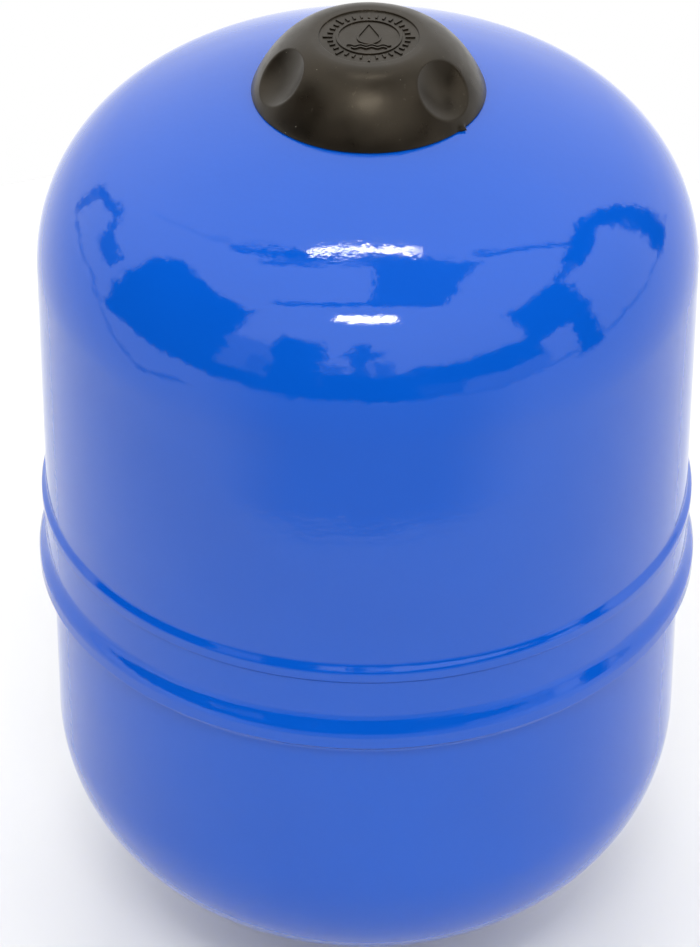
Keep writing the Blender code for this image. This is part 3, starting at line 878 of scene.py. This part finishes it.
def protective_cap():
    """Moulded cap with a round recess, finger scallops and a threaded collar."""
    roof = CAP_HEIGHT - RECESS_DEPTH
    ceiling = roof - CAP_ROOF
    collar_in, collar_out = BOSS_R + GAP, BOSS_R + GAP + 2.0
    collar_low = UPPER_APEX + GAP + 0.6 - CAP_Z
    step_z = BOSS_TOP + GAP + 1.5 + GAP - CAP_Z
    foot_r = CAP_R - CAP_WALL
    foot = rounded([(CAP_R - 0.5, 0.15), (CAP_R, 0.0, 0.3), (CAP_R - 0.3, 0.5)])
    outer = [(foot_r, CAP_FOOT_RISE)] + foot[1:-1]
    outer += cap_side(CAP_R - CAP_TOP_R, CAP_HEIGHT, 110)[6:]
    inner = [(collar_out, ceiling)] + cap_side(foot_r - CAP_TOP_R, ceiling, 60)[::-1][:-1]
    recess = rounded([
        (RECESS_R + 1.0, CAP_HEIGHT),
        (RECESS_R, CAP_HEIGHT, 0.25),
        (RECESS_R - 0.15, roof, 0.15),
        (RECESS_R - 1.0, roof),
    ])
    core = recess + rounded([
        (0.5, roof),
        (0.0, roof),
        (0.0, ceiling),
        (10.5, ceiling, 0.3),
        (10.5, step_z),
        (collar_in, step_z, 0.3),
        (collar_in, step_z - 1.0),
        Thread(CAP_PITCH, 0.15 - CAP_DEPTH, 0.5),
        (collar_in, collar_low),
        (collar_out, collar_low, 0.3),
        (collar_out, ceiling - 1.0),
    ])
    rings_out, rings_in = len(outer), len(inner)
    outline = raised(outer, CAP_Z)
    for item in core:
        outline.append(item if isinstance(item, Thread) else (item[0], item[1] + CAP_Z))
    first_in = len([item for item in outline if not isinstance(item, Thread)])
    outline += raised(inner, CAP_Z)
    points, faces = turned(outline, CAP_SIDES)
    out_part = slice(0, rings_out * CAP_SIDES)
    in_part = slice(first_in * CAP_SIDES, (first_in + rings_in) * CAP_SIDES)
    points[out_part] = with_flash(scalloped(points[out_part], SCALLOP_R))
    points[in_part] = scalloped(points[in_part], SCALLOP_R + CAP_WALL)
    piece("cap_moulded", (points, faces), plastic, "cap", ["protective_cap"])


def plate(outline, low, high, edge):
    """Raised flat shape from a closed (x, y) outline, with a chamfered edge."""
    flat = np.array(outline)
    middle = flat.mean(0)
    size = np.abs(flat - middle).max()
    levels = [(low, 1.0), (high - edge, 1.0), (high, 1.0 - edge / size)]
    count = len(flat)
    points = []
    for height, scale in levels:
        points.append(np.column_stack([middle + (flat - middle) * scale, np.full(count, height)]))
    faces = [list(range(count))[::-1], list(range(2 * count, 3 * count))]
    for level in range(2):
        for corner in range(count):
            after = (corner + 1) % count
            base = level * count
            faces.append([base + corner, base + after, base + count + after, base + count + corner])
    return np.concatenate(points), faces


def ridge(path, width, low, high, edge=0.1):
    """Raised closed line along an (x, y) path."""
    flat = np.array(path)
    ahead = np.roll(flat, -1, 0) - np.roll(flat, 1, 0)
    side = np.column_stack([ahead[:, 1], -ahead[:, 0]]) / np.linalg.norm(ahead, axis=1)[:, None]
    section = [(-width / 2, low), (-width / 2, high - edge), (edge - width / 2, high)]
    section += [(width / 2 - edge, high), (width / 2, high - edge), (width / 2, low)]
    rows = [np.column_stack([flat + side * out, np.full(len(flat), height)]) for out, height in section]
    count = len(flat)
    faces = []
    for row in range(len(rows)):
        this, that = row * count, (row + 1) % len(rows) * count
        for corner in range(count):
            after = (corner + 1) % count
            faces.append([this + corner, this + after, that + after, that + corner])
    return np.concatenate(rows), faces


def strip_of(top, bottom, low, high):
    """Raised strip between two (x, y) lines with the same number of points."""
    count = len(top)
    points = []
    for line, height in ((bottom, low), (bottom, high), (top, high), (top, low)):
        points += [(x, y, height) for x, y in line]
    faces = []
    for row in range(4):
        after = (row + 1) % 4
        for step in range(count - 1):
            here, there = row * count + step, after * count + step
            faces.append([here, here + 1, there + 1, there])
    ends = [[row * count for row in range(4)], [row * count + count - 1 for row in range(4)][::-1]]
    return np.array(points), faces + ends


def cap_emblem():
    """Plain motif raised in the cap's recess: a droplet over waves, in a ring of dial ticks."""
    floor = CAP_TOP_Z - RECESS_DEPTH
    low, high = floor - 0.3, floor + 0.38
    drop_r, tip = 3.3, 7.6
    reach = math.acos(drop_r / tip)
    drop = [(0.0, tip - 0.4)]
    for step in range(49):
        angle = math.pi / 2 + reach + (math.tau - 2 * reach) * step / 48
        drop.append((drop_r * math.cos(angle), drop_r * math.sin(angle) - 0.4))
    shapes = [ridge(drop, 0.7, low, high)]
    for level in (-6.0, -4.6):
        half = math.sqrt(8.0 ** 2 - level ** 2)
        top, bottom = [], []
        for step in range(41):
            x = half * (step / 20 - 1)
            y = level + 0.35 * math.sin(x * 1.9)
            top.append((x, y + 0.28))
            bottom.append((x, y - 0.28))
        shapes.append(strip_of(top, bottom, low, high))
    ring = rounded([(9.0, low), (9.75, low), (9.75, high, 0.12), (9.0, high, 0.12)])
    shapes.append(turned(ring, 160))
    for tick in range(32):
        angle = math.tau * tick / 32
        length = 2.9 if tick % 4 == 0 else 1.7
        along = Vector((math.cos(angle), math.sin(angle)))
        across = Vector((-along.y, along.x)) * 0.34
        start, end = along * 10.7, along * (10.7 + length)
        corners = [start - across, end - across, end + across, start + across]
        shapes.append(plate(corners, low, high, 0.1))
    piece("cap_emblem", joined(shapes), plastic, "cap", ())


# ---------------------------------------------------------------- stage, light and camera

TABLE_R = 0.42
TABLE_BACK = 0.03
FLOOR_TONE = (0.72, 0.72, 0.715, 1.0)
CEILING = 1.65
WALLS = 1.28
GROUND_AHEAD = 0.62
GROUND_BESIDE = 1.2
DARK = 0.02
LAMP = 42.0
FILL = 0.72
BACKDROP = 1.0
# What stands round the room: azimuths from the camera's side towards +X, heights above the horizon, in
# degrees, and how dark it is.
FURNITURE = [
    (-98, -50, -1, 46, 1.0),
    (-52, -14, -1, 9, 1.0),
    (-52, -34, 8, 30, 0.55),
    (-42, -34, 8, 22, 0.75),
    (-34, -15.5, 2, 38, 1.0),
    (-16, 17, -1, 18, 1.0),
    (-15, -7, 15, 24, 0.75),
    (2, 9, 15, 26, 0.8),
    (-9, 7, 29, 34, 0.9),
    (-5, 0.5, 16, 39, 0.95),
    (15, 60, 7.5, 21, 1.0),
    (15, 32, -1, 9, 0.9),
    (15, 62, -1, 12, 0.5),
    (57, 85, 16, 40, 1.0),
    (72, 83, -5, 17, 1.0),
    (84, 98, 36, 41, 0.9),
    (96, 124, 34, 43, 1.0),
    (118, 127, -3, 38, 1.0),
    (-116, -102, 13, 22, 0.9),
]
# Thin dark edges in the same measures: from, to, half width and how dark.
EDGES = [
    ((-131, 3), (-131, 17), 1.6, 0.8),
    ((-131, 17), (-123, 26), 2.2, 0.9),
    ((-123, 26), (-113, 20), 1.6, 0.9),
    ((-128, 3), (-106, 2), 0.7, 0.7),
    ((-106, 2), (-92, -10), 0.7, 0.7),
    ((-92, -10), (-79, -18), 0.7, 0.8),
    ((-79, -18), (-62, -12), 0.8, 0.8),
    ((-50, -1), (130, -1), 0.8, 0.6),
]
# What hangs under the ceiling, in heights of the ceiling: left, right, front, back and how dark.
HANGING = [
    (0.02, 0.41, -0.49, 0.085, 0.92),
    (-0.50, 0.15, -0.485, -0.435, 0.95),
    (-0.40, 0.42, 0.04, 0.085, 0.9),
]
BEAMS = [
    ((-0.48, 0.19), (-0.12, 0.065), 0.022, 1.0),
    ((-0.95, 0.67), (-0.50, 0.25), 0.012, 0.35),
    ((0.40, 0.155), (1.05, 0.335), 0.022, 0.9),
]


def floor():
    """Round table top. Beyond it the world is as pale, so its edge doesn't show."""
    sides = 96
    turns = [math.tau * side / sides for side in range(sides)]
    mesh = bpy.data.meshes.new("studio_floor")
    corners = [(TABLE_R * math.cos(turn), TABLE_R * math.sin(turn), 0) for turn in turns]
    mesh.from_pydata(corners, [], [tuple(range(sides))])
    made = bpy.data.objects.new("studio_floor", mesh)
    made.location = (0, TABLE_BACK, -0.0002)
    bpy.context.scene.collection.objects.link(made)
    paper = surface("studio_paper", Base_Color=FLOOR_TONE, Roughness=0.7, Specular_IOR_Level=0.2)[0]
    mesh.materials.append(paper)


def band(tree, value, low, high, edge):
    """1 between low and high, 0 beyond, with a soft edge."""
    up = ramp(tree, value, low - edge, low + edge)
    down = ramp(tree, value, high - edge, high + edge, 1.0, 0.0)
    return calc(tree, "MULTIPLY", up, down)


def vector(tree, operation, output, *values):
    return add(tree, "VectorMath", dict(enumerate(values)), operation=operation).outputs[output]


def stroke(tree, point, start, end, half_width, edge):
    """1 near the line from start to end, 0 away from it. The point's own Z is 0."""
    along = Vector((*end, 0)) - Vector((*start, 0))
    offset = vector(tree, "SUBTRACT", 0, point, (*start, 0))
    reach = vector(tree, "DOT_PRODUCT", 1, offset, along)
    share = calc(tree, "MULTIPLY", reach, 1 / along.length_squared)
    share = add(tree, "Clamp", {"Value": share}).outputs[0]
    nearest = add(tree, "VectorMath", {0: tuple(along), 3: share}, operation="SCALE").outputs[0]
    distance = vector(tree, "DISTANCE", 1, offset, nearest)
    return ramp(tree, distance, half_width - edge, half_width + edge, 1.0, 0.0)


def darkest(tree, across, up, blocks, lines, edge):
    """Largest darkness of the blocks and lines at a point."""
    point = add(tree, "CombineXYZ", {"X": across, "Y": up}).outputs[0]
    dark = 0.0
    for left, right, low, high, strength in blocks:
        wide, tall = band(tree, across, left, right, edge), band(tree, up, low, high, edge)
        block = calc(tree, "MULTIPLY", wide, tall)
        dark = calc(tree, "MAXIMUM", dark, calc(tree, "MULTIPLY", block, strength))
    for start, end, half_width, strength in lines:
        line = stroke(tree, point, start, end, half_width, edge * 0.7)
        dark = calc(tree, "MAXIMUM", dark, calc(tree, "MULTIPLY", line, strength))
    return dark


def wobbled(tree, value, *layers):
    """A value moved to and fro by layers of (noise, reach), so that edges read from it are ragged."""
    for layer, reach in layers:
        value = calc(tree, "MULTIPLY_ADD", calc(tree, "SUBTRACT", layer, 0.5), reach, value)
    return value


def darkness(tree, way, turn, rise, beside, behind, high_up):
    """How dark the furniture and what hangs overhead are in a direction."""
    moved = add(tree, "Mapping", {"Vector": way, "Location": (5.0, 2.0, 9.0)}).outputs[0]
    coarse, other = noise(tree, way, 9.0, 5.0, 0.7), noise(tree, moved, 8.0, 5.0, 0.7)
    crumbs, more = noise(tree, way, 40.0, 3.0, 0.7), noise(tree, moved, 44.0, 3.0, 0.7)
    wild_turn = wobbled(tree, turn, (coarse, 11.0), (crumbs, 9.0))
    wild_rise = wobbled(tree, rise, (other, 8.0), (more, 8.0))
    walls = darkest(tree, wild_turn, wild_rise, FURNITURE, EDGES, 0.8)
    wild_beside = wobbled(tree, beside, (coarse, 0.16))
    wild_behind = wobbled(tree, behind, (other, 0.05))
    above = darkest(tree, wild_beside, wild_behind, HANGING, BEAMS, 0.014)
    return calc(tree, "MAXIMUM", walls, calc(tree, "MULTIPLY", above, high_up))


def room_light(tree, turn, rise):
    """Brightness of the bare room: ground, walls and ceiling."""
    side = calc(tree, "ABSOLUTE", turn)
    ground = ramp(tree, side, 22.0, 62.0, GROUND_AHEAD, GROUND_BESIDE)
    room = ramp(tree, rise, 0.0, 45.0, WALLS, CEILING)
    inputs = {"Factor": ramp(tree, rise, -2.5, -0.5), "A": ground, "B": room}
    return add(tree, "Mix", inputs, data_type="FLOAT").outputs[0]


def lamps(tree, turn, rise, beside, behind, high_up):
    """1 in the two ceiling lamps, 0 beside them."""
    front_across = band(tree, turn, -15.5, 14.0, 1.2)
    front = calc(tree, "MULTIPLY", front_across, band(tree, rise, 53.0, 57.0, 1.2))
    strip_across = band(tree, beside, -0.19, 0.17, 0.02)
    strip = calc(tree, "MULTIPLY", band(tree, behind, 0.100, 0.117, 0.007), strip_across)
    return calc(tree, "MAXIMUM", front, calc(tree, "MULTIPLY", strip, high_up))


def studio():
    """World light: soft ceiling, pale walls with dark furniture, two lamps, and a plain backdrop."""
    world = bpy.data.worlds.new("studio")
    world.use_nodes = True
    bpy.context.scene.world = world
    tree = world.node_tree
    tree.nodes.clear()
    way = add(tree, "TexCoord").outputs["Generated"]
    x, y, z = add(tree, "SeparateXYZ", {"Vector": way}).outputs
    degrees = 180 / math.pi
    ahead = calc(tree, "MULTIPLY", y, -1.0)
    turn = calc(tree, "MULTIPLY", calc(tree, "ARCTAN2", x, ahead), degrees)
    rise = calc(tree, "MULTIPLY", calc(tree, "ARCSINE", z), degrees)
    overhead = calc(tree, "MAXIMUM", z, 0.3)
    beside = calc(tree, "DIVIDE", x, overhead)
    behind = calc(tree, "DIVIDE", y, overhead)
    high_up = calc(tree, "GREATER_THAN", z, 0.5)
    dark = darkness(tree, way, turn, rise, beside, behind, high_up)
    inputs = {"Factor": dark, "A": room_light(tree, turn, rise), "B": DARK}
    light = add(tree, "Mix", inputs, data_type="FLOAT").outputs[0]
    lamp = lamps(tree, turn, rise, beside, behind, high_up)
    light = calc(tree, "MULTIPLY_ADD", lamp, LAMP, light)
    lit = add(tree, "Background", {"Color": (1.0, 0.995, 0.985, 1.0), "Strength": light})
    plain = add(tree, "Background", {"Color": (1.0, 1.0, 1.0, 1.0), "Strength": BACKDROP})
    seen = add(tree, "LightPath").outputs["Is Camera Ray"]
    both = add(tree, "MixShader", {0: seen, 1: lit.outputs[0], 2: plain.outputs[0]})
    add(tree, "OutputWorld", {"Surface": both.outputs[0]})


def fill_lamps():
    """Two wide soft lamps low at the front. They aren't mirrored in the paint."""
    for side in (-1, 1):
        data = bpy.data.lights.new("fill_lamp", "SUN")
        data.energy = FILL
        data.angle = math.radians(70)
        made = bpy.data.objects.new("fill_lamp", data)
        made.rotation_euler = (math.radians(78), 0, math.radians(48) * side)
        made.visible_glossy = False
        bpy.context.scene.collection.objects.link(made)


def camera():
    data = bpy.data.cameras.new("studio_camera")
    data.lens = VIEW_LENS
    data.sensor_width = 36.0
    data.shift_x, data.shift_y = VIEW_SHIFT
    data.clip_end = 50.0
    away = Vector((0, -math.cos(VIEW_TILT), math.sin(VIEW_TILT)))
    right = Vector((1, 0, 0))
    turn = Matrix((right, away.cross(right), away)).transposed().to_4x4()
    made = bpy.data.objects.new("studio_camera", data)
    place = Matrix.Translation(Vector((0, 0, VIEW_HEIGHT)) + away * VIEW_DISTANCE)
    made.matrix_world = place @ turn @ Matrix.Rotation(VIEW_ROLL, 4, "Z")
    bpy.context.scene.collection.objects.link(made)
    bpy.context.scene.camera = made


camera()
studio()
fill_lamps()
floor()
bpy.context.scene.view_settings.view_transform = "Standard"

upper_shell()
lower_shell()
weld_bead("boss_weld", radius=12.1, height=UPPER_APEX - 0.45, size=1.05, ripples=46)
weld_bead("port_weld", radius=COLLAR_R + 0.1, height=LOWER_APEX + 0.25, size=1.5, ripples=52)
water_liner()
diaphragm()
clench_ring()
water_connection()
port_bush()
o_ring("port_seal_ring", "port_o_ring", size=0.85)
valve_boss()
o_ring("valve_seal_ring", "valve_o_ring", size=0.6)
valve_body()
core_barrel()
flat_ring("barrel_seal_sleeve", "core_barrel_seal", inner=2.1, fillet=0.15, body="vessel")
core_pin()
flat_ring("poppet_seal_sleeve", "core_poppet_seal", inner=0.9, fillet=0.2, body="valve_pin")
core_spring()
valve_cap()
valve_cap_disc()
protective_cap()
cap_emblem()
flat_ring("cap_seal_washer", "cap_seal", inner=7.4, fillet=0.3, body="cap_lifter")
